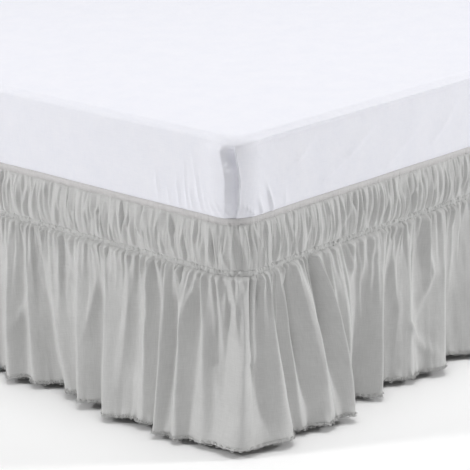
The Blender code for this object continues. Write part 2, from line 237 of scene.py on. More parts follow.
def all_folds():
    rng = random.Random(FOLD_SEED)
    folds = list(CORNER_FOLDS)
    span = folds[0].hem + OUTLINE_LENGTH - folds[-1].hem
    widths = []
    while sum(widths) < span:
        widths.append(rng.uniform(*FOLD_WIDTHS))
    place = folds[-1].hem
    for width in widths[:-1]:
        place += width * span / sum(widths)
        crest, valley = rng.uniform(*FOLD_CRESTS), rng.uniform(*FOLD_VALLEYS)
        away = min(abs(wrapped(place - corner)) for corner in CORNERS)
        near = max(0.0, 1 - away / CORNER_REACH)
        crest += (CORNER_CREST - crest) * near
        valley += (CORNER_VALLEY - valley) * near
        seam = place + rng.uniform(-FOLD_DRIFT, FOLD_DRIFT)
        turn = rng.uniform(*FOLD_TURNS)
        folds.append(Fold(seam, (seam + place) / 2, place, crest, turn, valley))
    return folds


folds = all_folds()
print(len(folds), "main folds")

# %% [markdown]
# ## The folds between the folds
#
# Under the strip there is far more cloth than the main folds can hold. Tucks run part of the way down
# between them and die away. Each has a path, a height and a width. Those that show in the photograph are
# in a table, and the rest are drawn at random. One with a negative height is a crease that goes inwards.

# %% Tucks
# where a tuck is at three distances down the ruffle: its place and that distance, 0 at the top, 1 at the hem
Tuck = namedtuple("Tuck", "start start_down middle middle_down end end_down height width")
SEEN_TUCKS = [
    Tuck(-0.421, 0.02, -0.413, 0.36, -0.408, 0.62, 0.0075, 0.010),
    Tuck(-0.395, 0.02, -0.392, 0.20, -0.402, 0.40, 0.0060, 0.008),
    Tuck(-0.470, 0.01, -0.466, 0.20, -0.462, 0.45, 0.0060, 0.008),
    Tuck(-0.500, 0.45, -0.515, 0.58, -0.530, 0.78, 0.0060, 0.010),
    Tuck(-0.331, 0.01, -0.319, 0.25, -0.330, 0.70, 0.0090, 0.010),
    Tuck(-0.270, 0.01, -0.262, 0.12, -0.258, 0.26, 0.0060, 0.007),
    Tuck(-0.240, 0.01, -0.228, 0.30, -0.216, 0.92, 0.0100, 0.011),
    Tuck(-0.213, 0.01, -0.208, 0.10, -0.206, 0.24, 0.0055, 0.006),
    Tuck(-0.190, 0.02, -0.174, 0.35, -0.172, 0.60, 0.0060, 0.008),
    Tuck(-0.118, 0.02, -0.100, 0.12, -0.088, 0.34, 0.0070, 0.008),
    Tuck(-0.066, 0.01, -0.080, 0.20, -0.086, 0.45, 0.0080, 0.009),
    Tuck(-0.052, 0.02, -0.036, 0.32, -0.031, 0.80, 0.0080, 0.009),
    Tuck(-0.023, 0.03, -0.019, 0.29, -0.016, 0.75, 0.0060, 0.008),
    Tuck(-0.030, 0.01, -0.026, 0.16, -0.024, 0.38, 0.0060, 0.006),
    Tuck(-0.014, 0.01, -0.013, 0.14, -0.014, 0.34, 0.0055, 0.005),
    Tuck(-0.006, 0.16, -0.009, 0.34, -0.013, 0.66, -0.0060, 0.006),
    Tuck(0.001, 0.01, 0.000, 0.17, -0.003, 0.40, 0.0060, 0.005),
    Tuck(-0.022, 0.56, -0.014, 0.84, -0.008, 1.25, 0.0070, 0.011),
    Tuck(0.012, 0.52, 0.020, 0.80, 0.032, 1.25, -0.0060, 0.012),
    Tuck(0.020, 0.02, 0.015, 0.38, 0.012, 0.85, -0.0100, 0.003),
    Tuck(0.038, 0.03, 0.032, 0.33, 0.022, 0.80, 0.0080, 0.010),
    Tuck(0.062, 0.20, 0.056, 0.45, 0.050, 0.62, -0.0090, 0.005),
    Tuck(0.076, 0.03, 0.070, 0.30, 0.046, 0.75, 0.0080, 0.009),
    Tuck(0.112, 0.04, 0.114, 0.40, 0.112, 0.90, -0.0100, 0.006),
    Tuck(0.132, 0.02, 0.140, 0.25, 0.150, 0.80, 0.0070, 0.009),
    Tuck(0.183, 0.02, 0.190, 0.30, 0.186, 0.90, -0.0090, 0.009),
    Tuck(0.300, 0.02, 0.302, 0.16, 0.290, 0.34, 0.0100, 0.012),
    Tuck(0.334, 0.02, 0.332, 0.14, 0.326, 0.30, 0.0080, 0.010),
    Tuck(0.362, 0.02, 0.350, 0.18, 0.340, 0.42, 0.0080, 0.010),
    Tuck(0.425, 0.10, 0.424, 0.55, 0.402, 0.95, 0.0080, 0.012),
    Tuck(0.531, 0.03, 0.527, 0.40, 0.452, 0.76, 0.0100, 0.010),
    Tuck(0.446, 0.66, 0.478, 0.82, 0.522, 0.99, 0.0070, 0.011),
    Tuck(0.620, 0.02, 0.612, 0.30, 0.600, 0.62, 0.0090, 0.011),
]
TUCK_SEED, TUCK_PITCH, TUCK_HEIGHT = 11, 0.034, 0.0085


def drawn_tucks():
    rng = random.Random(TUCK_SEED)
    crests = [(fold.seam, fold.half) for fold in folds]
    drawn = []
    place = 0.72
    while place < OUTLINE_LENGTH - 0.66:
        place += rng.uniform(0.6, 1.4) * TUCK_PITCH
        seam, half = min(crests, key=lambda crest: abs(crest[0] - place))
        end = place + (half - place) * rng.uniform(0.3, 0.8)
        low = rng.uniform(0.35, 0.85)
        high, wide = TUCK_HEIGHT * rng.uniform(0.6, 1.2), rng.uniform(0.007, 0.011)
        drawn.append(Tuck(place, 0.02, (place + end) / 2, low * 0.45, end, low, high, wide))
    return drawn


tucks = SEEN_TUCKS + drawn_tucks()
print(len(tucks), "tucks")

# %% [markdown]
# ## The ruffle's surface
#
# The main folds give each row's stand-off. A fold rises to a narrow crest and falls to a rounder valley,
# because a light cloth that hangs from gathers creases along its crests. Near the top the valleys lie
# against the base, and lower down the whole cloth swings outwards. A cloth simulation could find folds
# too, but not the ones that the solids have, so the folds are worked out from their table instead.

# %% The main folds' surface
TOP_STAND, SIDE_STAND, TOP_GATHER = 0.0042, 0.0046, 0.0012
CREST_GROWTH, VALLEY_GROWTH = 0.75, 1.5
HEM_UNEVEN = 0.006

COLUMN_PITCH, ROWS = 0.00065, 50

columns, spacing, along = even_columns(COLUMN_PITCH)
steps = np.linspace(0, 1, ROWS)
print(f"{columns} columns {1000 * spacing:.2f} mm apart, in {ROWS} rows")
down = 0.36 * steps + 0.64 * steps**2
pucker = uneven(41, spacing, (1, columns), 0.0011)
other_pucker = uneven(42, spacing, (1, columns), 0.0011)


def hem_height(place):
    turn = 2 * math.pi * place / OUTLINE_LENGTH
    return HEM + HEM_UNEVEN * (0.5 + 0.25 * np.sin(17 * turn) + 0.25 * np.sin(41 * turn + 1.0))


def crest_places(share):
    """Where every crest is at a share of the way down: on the smooth path through its three places."""
    seam, half, hem = (np.array([getattr(fold, name) for fold in folds]) for name in ("seam", "half", "hem"))
    upper, lower = (1 - share) * (1 - 2 * share), share * (2 * share - 1)
    return seam * upper + half * (1 - upper - lower) + hem * lower


def main_folds():
    """For each row: the place and the stand-off of every column."""
    hems, turns, crests, valleys = (
        np.array([getattr(fold, name) for fold in folds]) for name in ("hem", "turn", "crest", "valley")
    )
    from_first = (along - hems[0]) % OUTLINE_LENGTH + hems[0]
    ends = np.append(hems, hems[0] + OUTLINE_LENGTH)
    fold = np.clip(np.searchsorted(ends, from_first, side="right") - 1, 0, len(folds) - 1)
    after = (fold + 1) % len(folds)
    share = (from_first - ends[fold]) / (ends[fold + 1] - ends[fold])
    falling = share < turns[fold]
    reach = np.where(falling, share / turns[fold], (1 - share) / (1 - turns[fold]))
    sharp, soft = (1 - reach) ** 1.4, 0.5 + 0.5 * np.cos(math.pi * reach)
    place_rows, stand_rows = [], []
    for t in down:
        close = TOP_STAND + (SIDE_STAND - TOP_STAND) * min(1.0, t / 0.09)
        low = (close + (valleys - SIDE_STAND) * t**VALLEY_GROWTH)[fold]
        high = TOP_STAND + TOP_GATHER + (crests - TOP_STAND - TOP_GATHER) * t**CREST_GROWTH
        high = np.where(falling, high[fold], high[after])
        # a crest is creased at the top and rounder towards the hem
        crease = soft + (0.84 - 0.44 * t**2) * (sharp - soft)
        stand_rows.append(soften(low + (high - low) * crease, spacing, 0.0006 + 0.0028 * t**2))
        shift = crest_places(t) - hems
        ahead = shift[fold] + (shift[after] - shift[fold]) * share
        place_rows.append(along + soften(ahead, spacing, 0.010))
    return np.array(place_rows), np.array(stand_rows)


# %% [markdown]
# A tuck is a ridge along its path. It grows within its first few millimetres, broadens as it goes down
# and fades out towards its end. Only the columns near its path are touched.


# %% Tucks on the surface
def add_tucks(place, stand, tucks):
    for tuck in tucks:
        rows = np.flatnonzero((down >= tuck.start_down - 0.02) & (down <= tuck.end_down + 0.001))
        t = down[rows]
        path = np.interp(t, tuck[1:6:2], tuck[0:6:2])
        size = np.clip((t - tuck.start_down + 0.02) / 0.03, 0, 1)
        size *= np.clip((tuck.end_down - t) / (0.55 * (tuck.end_down - tuck.start_down)), 0, 1) ** 0.8
        reach = 4 * tuck.width + 0.10
        near = np.arange(int((path.min() - reach) / spacing), int((path.max() + reach) / spacing)) % columns
        aside = wrapped(place[np.ix_(rows, near)] - path[:, None])
        width = tuck.width * (0.7 + 0.5 * (t - tuck.start_down))[:, None]
        stand[np.ix_(rows, near)] += tuck.height * size[:, None] * np.exp(-np.abs(aside / width) ** 1.4)


# %% [markdown]
# The gathers right under the strip come in two families: fine ones 7 mm apart that end within 70 mm, and
# bigger ones 13.5 mm apart that run on. Each laps over its neighbour like a shingle, so it has one sharp
# edge, and where two of a family meet the higher one hides the lower.

# %% Gathers under the strip
# how far apart they are, how high, and how far down the longest and the shortest of them run
Family = namedtuple("Family", "seed pitch height longest shortest")
FAMILIES = (Family(17, 0.0072, 0.0050, 0.22, 0.07), Family(18, 0.0135, 0.0100, 0.62, 0.14))


def shingle(aside, width, skew):
    """A gather's section: 1 at its edge, which lies to one side of its middle, and 0 at both ends."""
    share = aside / width
    rise, fall = (1 + share) / (1 + skew), (1 - share) / (1 - skew)
    return np.clip(np.minimum(rise, fall), 0, 1) ** 0.65


def seam_gathers(family, seam_place):
    """Gathers spread evenly along the strip, which then follow the cloth's columns down."""
    rng = random.Random(family.seed)
    heights = np.zeros((len(down), columns))
    middle = OUTLINE_LENGTH / 2
    while middle < 1.5 * OUTLINE_LENGTH - family.pitch / 2:
        life = family.shortest + (family.longest - family.shortest) * rng.random() ** 1.6
        lean, skew = rng.gauss(0, 0.5) * family.pitch, rng.choice((-1, 1)) * rng.uniform(0.3, 0.8)
        high = family.height * rng.uniform(0.5, 1.15)
        wide = family.pitch * rng.uniform(0.40, 0.62)
        rows = np.flatnonzero(down < life)
        t = down[rows] / life
        aside = wrapped(seam_place - middle)
        near = np.flatnonzero(np.abs(aside) < 0.035)
        aside = aside[near][None, :] - (lean * t)[:, None]
        size = (0.35 + 0.65 * np.clip(down[rows] / 0.025, 0, 1)) * (1 - t) ** 0.8
        rise = high * size[:, None] * shingle(aside, wide * (0.8 + 0.8 * t)[:, None], skew)
        here = np.ix_(rows, near)
        heights[here] = np.maximum(heights[here], rise)
        middle += family.pitch * rng.uniform(0.55, 1.45)
    return soften(heights, spacing, 0.0005)


# %% [markdown]
# Now it is all added up. A hanging cloth is never quite still or flat, so it also sways a little from
# fold to fold, keeps faint crumples, and frills along its edge, where the sewing has stretched it. Each
# corner pushes the gathers outwards, and the top edge is caught inside the strip.

# %% The whole surface
PUCKER, PUCKER_REACH = 0.0018, 0.035
SWAY, SWAY_SIZE = 0.0030, 0.05
CRUMPLE, CRUMPLE_SIZE, CRUMPLE_FULL = 0.0024, 0.0045, 0.2
FRILL, FRILL_RISE, FRILL_SIZE = 0.0034, 0.0022, 0.0028
FRILL_FROM, FRILL_OVER = 0.94, 0.06
# the nearest that the free cloth comes to the base, and the stand-off of the edge that is caught
NEAREST, CAUGHT = 0.0022, 0.0044
RUFFLE_DROP = 0.302

place, stand = main_folds()
add_tucks(place, stand, tucks)
for family in FAMILIES:
    stand += seam_gathers(family, place[0])
stand += PUCKER * np.exp(-down / PUCKER_REACH)[:, None] * pucker
stand += SWAY * down[:, None] * uneven(5, spacing, (1, columns), SWAY_SIZE)
crumple = uneven(6, spacing, (len(down), columns), CRUMPLE_SIZE)
for _ in range(6):
    crumple[1:-1] = (crumple[:-2] + crumple[1:-1] + crumple[2:]) / 3
stand += CRUMPLE * crumple / np.abs(crumple).max() * np.clip(down / CRUMPLE_FULL, 0, 1)[:, None]
frill = uneven(7, spacing, (1, columns), FRILL_SIZE)
stand += FRILL * np.clip((down - FRILL_FROM) / FRILL_OVER, 0, 1)[:, None] ** 1.5 * frill
stand += bulge(place) * np.exp(-down / 0.15)[:, None]
stand = np.maximum(stand, NEAREST)
free = np.clip((down[:, None] * RUFFLE_DROP - 0.0010) / 0.0030, 0, 1)
caught = CAUGHT + bulge(place)
stand = caught + (stand - caught) * free
seam = RUFFLE_TOP + SEAM
height = seam + (hem_height(place) + FRILL_RISE * frill - seam) * down[:, None]
x, y = on_outline(place, stand)
ruffle = np.stack([x, y, height], -1)

# %% [markdown]
# The hem is narrow and rolled. Four more rows turn the cloth's edge in and back up behind its face. They
# follow the direction that faces out of the cloth at each column, so the roll keeps to every fold.

# %% The rolled hem
# each row's place outwards and upwards from the edge, and how much cloth lies between it and the edge
HEM_ROLL = ((0.0004, -0.0008), (-0.0006, -0.0013), (-0.0015, -0.0006), (-0.0010, 0.0050))
HEM_CUT = (0.001, 0.002, 0.003, 0.008)
# how tall the cloth is without its hem, and the height that it was cut to
RUFFLE_CLOTH, RUFFLE_FLAT = 0.300, 0.308

run = np.roll(ruffle[-1], -1, 0) - np.roll(ruffle[-1], 1, 0)
outwards = np.stack([run[:, 1], -run[:, 0], 0 * run[:, 0]], -1)
outwards /= np.linalg.norm(outwards, axis=1)[:, None]
edge = ruffle[-1]
roll = [edge + outwards * out + [0, 0, up] for out, up in HEM_ROLL]
ruffle = np.concatenate([ruffle, np.array(roll)])
cut_down = np.append(down * RUFFLE_CLOTH, RUFFLE_CLOTH + np.array(HEM_CUT))
hem_length = np.linalg.norm(np.diff(edge, axis=0), axis=1).sum()
print(f"hem {hem_length:.2f} m round, stands {stand[-1].min():.3f} to {stand[-1].max():.3f} m out")

# %% [markdown]
# ## Cutting the ruffle into its widths
#
# A ruffle this long is sewn from several widths of cloth. The joins lie in valleys near the middle of
# each side, as on the solids, and every width is its own piece that replaces its solid.


# %% The four widths of the ruffle
def cloth_widths(name, grid, rows_down, joins, step, middle_row):
    """Cuts a grid that runs once round at four columns, and makes a piece of each part."""
    made = []
    starts = [joins[-1] - grid.shape[1]] + joins[:-1]
    for panel, start, end in zip(PANELS, starts, joins):
        points = grid[:, thinned(start, end, step) % grid.shape[1]]
        lengths = np.linalg.norm(np.diff(points[middle_row], axis=0), axis=1)
        across = np.append(0, np.cumsum(lengths))
        cloth = np.stack(np.broadcast_arrays(across[None, :], rows_down[:, None]), -1)
        piece = grid_mesh(f"{name}_{panel}", points, cloth)
        made.append((piece, panel, float(across[-1])))
        print(piece.name, triangles(piece), "triangles, cut", round(across[-1], 2), "m long")
    return made


def valley_places():
    ends = [fold.hem for fold in folds] + [folds[0].hem + OUTLINE_LENGTH]
    return [start + (end - start) * fold.turn for fold, start, end in zip(folds, ends, ends[1:])]


valleys = valley_places()
joins = [round(min(valleys, key=lambda valley: abs(valley - middle)) / spacing) for middle in MIDDLES]
ruffle_widths = cloth_widths("ruffle_cloth", ruffle, cut_down, joins, spacing, len(down) - 1)

# %% [markdown]
# ## The shirred heading
#
# The heading is a band of the same cloth, gathered tightly along both edges, so it puffs out between
# them. Its gathers are long and lens-shaped: each runs from one edge towards the other and wedges in
# between its neighbours. They lap like the gathers of the ruffle, which leaves a bright edge and a thin
# dark crease beside it.

# %% Heading
RIM_STAND, PUFF_STAND = 0.0036, 0.0050
# the height that the heading's cloth was cut to
HEADING_FLAT = 0.095
# lens-shaped gathers: long ones that make the heading's shape, and finer ones on them
Lens = namedtuple("Lens", "seed pitch height")
LENSES = (Lens(25, 0.0112, 0.0118), Lens(22, 0.0054, 0.0038))

HEAD_PITCH, HEAD_ROWS = 0.00055, 22

head_columns, head_spacing, head_along = even_columns(HEAD_PITCH)
head_down = 0.5 - 0.5 * np.cos(math.pi * np.linspace(0, 1, HEAD_ROWS))
print(f"{head_columns} columns {1000 * head_spacing:.2f} mm apart, in {HEAD_ROWS} rows")


def heading_gathers(family):
    rng = random.Random(family.seed)
    swell = np.sin(math.pi * head_down) ** 0.55
    heights = np.zeros((len(head_down), head_columns))
    middle = OUTLINE_LENGTH / 2
    while middle < 1.5 * OUTLINE_LENGTH - family.pitch / 2:
        kind = rng.random()
        begin = -0.15 if kind < 0.70 else rng.uniform(0.1, 0.4)
        end = 1.15 if kind > 0.32 else rng.uniform(0.5, 0.9)
        lean, bow = rng.gauss(0, 0.0070), rng.gauss(0, 0.0025)
        high, wide = family.height * rng.uniform(0.55, 1.0), family.pitch * rng.uniform(0.55, 1.0)
        skew = rng.choice((-1, 1)) * rng.uniform(0.2, 0.8)
        part = np.clip((head_down - begin) / (end - begin), 0, 1)
        lens = np.sin(math.pi * part) ** 0.6
        path = middle + lean * (head_down - 0.5) + bow * np.sin(math.pi * head_down)
        near = np.arange(int((middle - 0.04) / head_spacing), int((middle + 0.04) / head_spacing))
        aside = near[None, :] * head_spacing - path[:, None]
        section = shingle(aside, wide * (0.50 + 0.55 * lens)[:, None], skew)
        rise = high * (lens * (0.30 + 0.70 * swell))[:, None] * section
        near = near % head_columns
        heights[:, near] = np.maximum(heights[:, near], rise)
        middle += family.pitch * rng.uniform(0.55, 1.45)
    return soften(heights, head_spacing, 0.0004)


# %% [markdown]
# The gathers are laid on a low, even puff. Both edges are caught inside their bands: the upper one
# sharply under the smooth binding, the lower one more gradually, because the strip stands further out.

# %% The heading's surface
head_stand = RIM_STAND + (PUFF_STAND - RIM_STAND) * np.sin(math.pi * head_down[:, None]) ** 0.55
for family in LENSES:
    head_stand = head_stand + heading_gathers(family)
head_pucker = np.interp(head_along, along, pucker[0], period=OUTLINE_LENGTH)
at_rims = np.exp(-head_down / 0.07) + np.exp(-(1 - head_down) / 0.10)
head_stand += 0.0020 * at_rims[:, None] * head_pucker
head_stand += bulge(head_along) * head_down[:, None] ** 2.5
cut_height = HEADING_HEIGHT + 2 * SEAM
from_top = (head_down * cut_height - 0.0016) / 0.0022
from_bottom = ((1 - head_down) * cut_height - 0.0010) / 0.0046
free = np.clip(np.minimum(from_top, from_bottom), 0, 1)[:, None]
caught = 0.0026 + 0.0020 * head_down[:, None] + bulge(head_along) * head_down[:, None] ** 2.5
head_stand = caught + (np.maximum(head_stand, 0.0012) - caught) * free
x, y = on_outline(head_along, head_stand)
print(f"the heading stands {head_stand.min():.4f} to {head_stand.max():.4f} m out")
head_height = HEADING_TOP + SEAM - cut_height * head_down[:, None]
heading = np.stack(np.broadcast_arrays(x, y, head_height), -1)
head_joins = [round(middle / head_spacing) for middle in MIDDLES]
heading_widths = cloth_widths(
    "heading_cloth", heading, head_down * HEADING_FLAT, head_joins, head_spacing, len(head_down) // 2
)

# %% [markdown]
# ## The binding and the gathering strip
#
# The top edge is a folded tape with elastic inside: smooth, a little fuller in the middle, and pulled
# slightly uneven. The gathering strip is narrower and ruched: the elastic draws it into fine puckers a
# few millimetres apart, in two rows. Both are closed bands, lofted from a profile.

# %% Bands
# a corner of a band's section: its stand-off, its height, and how much of each row of puckers it has
Corner = namedtuple("Corner", "out height first second")


def band(name, profile, pull, pushed):
    kept = thinned(0, columns - 1, spacing)
    where = along[kept]
    first, second = pucker[0, kept], other_pucker[0, kept]
    slow = uneven(43, spacing, (1, columns), 0.03)[0, kept]
    rows, cloth, across = [], [], 0.0
    for corner, after in zip(profile, profile[1:] + profile[:1]):
        move = pull * (corner.first * first + corner.second * second)
        x, y = on_outline(where, corner.out + move + pushed * bulge(where))
        rows.append(np.stack([x, y, corner.height + 0.0005 * slow + 0.3 * move], -1))
        cloth.append(np.stack([where, np.full(len(where), across)], -1))
        across += math.hypot(after.out - corner.out, after.height - corner.height)
    rows.append(rows[0])
    cloth.append(np.stack([where, np.full(len(where), across)], -1))
    made = grid_mesh(name, np.array(rows)[::-1], np.array(cloth)[::-1], wrap=OUTLINE_LENGTH)
    made.modifiers.new("close the section", "WELD").merge_threshold = 0.00001
    return made


def apply_modifiers(obj):
    """Makes a piece's modifiers part of its mesh."""
    bpy.context.view_layer.update()
    seen = obj.evaluated_get(bpy.context.evaluated_depsgraph_get())
    mesh = bpy.data.meshes.new_from_object(seen)
    obj.modifiers.clear()
    obj.data = mesh


# %% The binding and the strip
low = SKIRT_TOP - BINDING_HEIGHT
binding = band(
    "binding_tape",
    [
        Corner(0.0004, low, 0.0, 0.0),
        Corner(0.0030, low - 0.0004, 1.0, 0.3),
        Corner(0.0042, low + 0.0010, 1.0, 0.4),
        Corner(0.0040, low + 0.0028, -0.4, 0.2),
        Corner(0.0047, low + 0.0048, 0.6, 0.2),
        Corner(0.0046, SKIRT_TOP - 0.0045, 0.1, 0.2),
        Corner(0.0040, SKIRT_TOP - 0.0012, 0.0, 0.2),
        Corner(0.0026, SKIRT_TOP, 0.0, 0.1),
        Corner(0.0004, SKIRT_TOP - 0.0006, 0.0, 0.0),
    ],
    0.0013,
    0.0,
)
strip = band(
    "ruched_strip",
    [
        Corner(0.0004, STRIP_BOTTOM - 0.0004, 0.0, 0.0),
        Corner(0.0036, STRIP_BOTTOM - 0.0012, 0.8, 0.2),
        Corner(0.0060, STRIP_BOTTOM + 0.0010, 1.0, 0.0),
        Corner(0.0070, STRIP_BOTTOM + 0.0032, 0.9, -0.4),
        Corner(0.0066, STRIP_BOTTOM + 0.0052, 0.2, 0.2),
        Corner(0.0070, STRIP_BOTTOM + 0.0072, -0.4, 0.9),
        Corner(0.0060, HEADING_BOTTOM - 0.0012, 0.0, 1.0),
        Corner(0.0034, HEADING_BOTTOM + 0.0010, 0.3, 0.8),
        Corner(0.0004, HEADING_BOTTOM + 0.0004, 0.0, 0.0),
    ],
    0.0026,
    1.0,
)
for piece in (binding, strip):
    apply_modifiers(piece)
    print(piece.name, triangles(piece), "triangles")


# %% [markdown]
# ## Threads
#
# The hem is overlocked: a thread loops over the cloth's edge every few millimetres, and here and there a
# loop stands off it. The binding and the strip are sewn down with short stitches. Both are the same
# thing, a short bent thread repeated along an edge, so one Geometry Nodes group makes them.


# %% Adding nodes to a tree
def add(tree, kind, settings=None, **inputs):
    """Adds a node. Inputs are values, or sockets to link from."""
    node = tree.nodes.new(kind)
    for name, value in (settings or {}).items():
        setattr(node, name, value)
    for name, value in inputs.items():
        socket = node.inputs[name.replace("_", " ")]
        if isinstance(value, bpy.types.NodeSocket):
            tree.links.new(value, socket)
        else:
            socket.default_value = value
    return node


def times(tree, socket, factor):
    node = add(tree, "ShaderNodeMath", {"operation": "MULTIPLY"})
    tree.links.new(socket, node.inputs[0])
    node.inputs[1].default_value = factor
    return node.outputs[0]


def chance(tree, low, high, seed):
    node = add(tree, "FunctionNodeRandomValue", {"data_type": "FLOAT_VECTOR"}, Seed=seed)
    node.inputs[0].default_value = low
    node.inputs[1].default_value = high
    return node.outputs[0]


# %% [markdown]
# The group turns a line of points into an even path, puts one bent thread on each of its points, and
# turns each thread to lie along the path. Chance values with a fixed seed vary their size and their aim.


# %% Threads along an edge
def thread_group():
    tree = bpy.data.node_groups.new("threads along an edge", "GeometryNodeTree")
    tree.interface.new_socket("Geometry", in_out="OUTPUT", socket_type="NodeSocketGeometry")
    for name, kind in (
        ("Geometry", "Geometry"),
        ("Spacing", "Float"),
        ("Length", "Float"),
        ("Rise", "Float"),
        ("Thickness", "Float"),
        ("Towards", "Vector"),
        ("Spread", "Float"),
        ("Seed", "Int"),
        ("Thread", "Material"),
    ):
        tree.interface.new_socket(name, in_out="INPUT", socket_type="NodeSocket" + kind)
    into = tree.nodes.new("NodeGroupInput").outputs
    curve = add(tree, "GeometryNodeMeshToCurve", Mesh=into["Geometry"]).outputs[0]
    even = add(tree, "GeometryNodeResampleCurve", {"mode": "LENGTH"}, Curve=curve, Length=into["Spacing"])
    # one thread: a bent curve swept with a small round section
    begin = add(tree, "ShaderNodeCombineXYZ", X=times(tree, into["Length"], -0.5)).outputs[0]
    end = add(tree, "ShaderNodeCombineXYZ", X=times(tree, into["Length"], 0.5)).outputs[0]
    top = add(tree, "ShaderNodeCombineXYZ", Z=times(tree, into["Rise"], 2.0)).outputs[0]
    bent = add(tree, "GeometryNodeCurveQuadraticBezier", Resolution=3, Start=begin, Middle=top, End=end)
    section = add(tree, "GeometryNodeCurvePrimitiveCircle", Resolution=3, Radius=into["Thickness"])
    swept = add(tree, "GeometryNodeCurveToMesh", Curve=bent.outputs[0], Fill_Caps=True)
    tree.links.new(section.outputs[0], swept.inputs["Profile Curve"])
    # it lies along the edge, and its bend points more or less the given way
    tangent = add(tree, "GeometryNodeInputTangent").outputs[0]
    facing = add(tree, "FunctionNodeAlignRotationToVector", {"axis": "X"}, Vector=tangent).outputs[0]
    stray = add(tree, "ShaderNodeVectorMath", {"operation": "SCALE"}, Scale=into["Spread"])
    tree.links.new(chance(tree, (-1, -1, -1), (1, 1, 1), into["Seed"]), stray.inputs[0])
    aim = add(tree, "ShaderNodeVectorMath", {"operation": "ADD"})
    tree.links.new(into["Towards"], aim.inputs[0])
    tree.links.new(stray.outputs[0], aim.inputs[1])
    turned = add(
        tree,
        "FunctionNodeAlignRotationToVector",
        {"axis": "Z", "pivot_axis": "X"},
        Rotation=facing,
        Vector=aim.outputs[0],
    )
    many = add(
        tree,
        "GeometryNodeInstanceOnPoints",
        Points=even.outputs[0],
        Instance=swept.outputs[0],
        Rotation=turned.outputs[0],
        Scale=chance(tree, (0.7, 0.7, 0.35), (1.2, 1.2, 1.5), into["Seed"]),
    )
    real = add(tree, "GeometryNodeRealizeInstances", Geometry=many.outputs[0])
    dressed = add(tree, "GeometryNodeSetMaterial", Geometry=real.outputs[0], Material=into["Thread"])
    tree.links.new(dressed.outputs[0], tree.nodes.new("NodeGroupOutput").inputs[0])
    return tree


threads = thread_group()


def thread_piece(name, points, closed, material, **settings):
    """A piece of threads along a line of points."""
    edges = [(n, n + 1) for n in range(len(points) - 1)] + ([(len(points) - 1, 0)] if closed else [])
    mesh = bpy.data.meshes.new(name)
    mesh.from_pydata(points.tolist(), edges, [])
    made = bpy.data.objects.new(name, mesh)
    bpy.context.scene.collection.objects.link(made)
    nodes = made.modifiers.new("threads", "NODES")
    nodes.node_group = threads
    sockets = {item.name: item.identifier for item in threads.interface.items_tree if item.in_out == "INPUT"}
    for key, value in dict(settings, Thread=material).items():
        nodes[sockets[key]] = value
    apply_modifiers(made)
    return made


# %% [markdown]
# ## Materials
#
# Every cloth is a plain weave seen at its own scale. The weave, the slubs in the yarn and the faint
# unevenness of the dye come from the cloth's own metres, so they run with the folds. A second, coarser
# bump is the crumple that a light cloth keeps from the packet.

# %% Materials
def linear(code):
    """The linear colour of an sRGB hex code."""
    parts = [int(code[start : start + 2], 16) / 255 for start in (0, 2, 4)]
    return [p / 12.92 if p <= 0.04045 else ((p + 0.055) / 1.055) ** 2.4 for p in parts] + [1.0]


def blank(name):
    made = bpy.data.materials.new(name)
    made.use_nodes = True
    return made, made.node_tree, made.node_tree.nodes["Principled BSDF"]


def sum_of(tree, *sockets):
    total = sockets[0]
    for socket in sockets[1:]:
        node = add(tree, "ShaderNodeMath", {"operation": "ADD"})
        tree.links.new(total, node.inputs[0])
        tree.links.new(socket, node.inputs[1])
        total = node.outputs[0]
    return total


def between(tree, factor, colour, dark, shader):
    """Mixes two colours by a factor and gives the result to the shader."""
    mix = add(tree, "ShaderNodeMix", {"data_type": "RGBA"}, Factor=factor)
    mix.inputs[6].default_value = linear(colour)
    mix.inputs[7].default_value = linear(dark)
    tree.links.new(mix.outputs[2], shader.inputs["Base Color"])


def bump(tree, height, depth_mm, strength, under=None):
    node = add(tree, "ShaderNodeBump", Height=height, Strength=strength, Distance=depth_mm / 1000)
    if under:
        tree.links.new(under, node.inputs["Normal"])
    return node.outputs["Normal"]


def cloth_place(tree, unwrapped):
    """The cloth's own metres: its UVs, or for a plain box the way round it and the height."""
    if unwrapped:
        return add(tree, "ShaderNodeUVMap", {"uv_map": "cloth"}).outputs["UV"]
    at = add(tree, "ShaderNodeTexCoord").outputs["Object"]
    split = add(tree, "ShaderNodeSeparateXYZ", Vector=at).outputs
    return add(tree, "ShaderNodeCombineXYZ", X=sum_of(tree, split["X"], split["Y"]), Y=split["Z"]).outputs[0]


def noise(tree, where, x_mm, y_mm, detail=3.0):
    """Noise whose features are about x_mm along the cloth and y_mm down it."""
    size = (1000 / x_mm, 1000 / y_mm, 1)
    stretched = add(tree, "ShaderNodeMapping", Vector=where, Scale=size).outputs["Vector"]
    return add(tree, "ShaderNodeTexNoise", Vector=stretched, Scale=1.0, Detail=detail).outputs["Fac"]


def yarns(tree, where, way, pitch):
    bands = 0.314 * 1000 / pitch
    settings = {"bands_direction": way}
    wave = add(tree, "ShaderNodeTexWave", settings, Vector=where, Scale=bands, Distortion=0.6)
    return wave.outputs["Fac"]


# %% [markdown]
# A plain weave is two wave patterns multiplied, one for each set of yarns. Real yarns are about 0.2 mm
# apart, too fine for the picture, so each weave is drawn coarser, at a pitch given in millimetres.


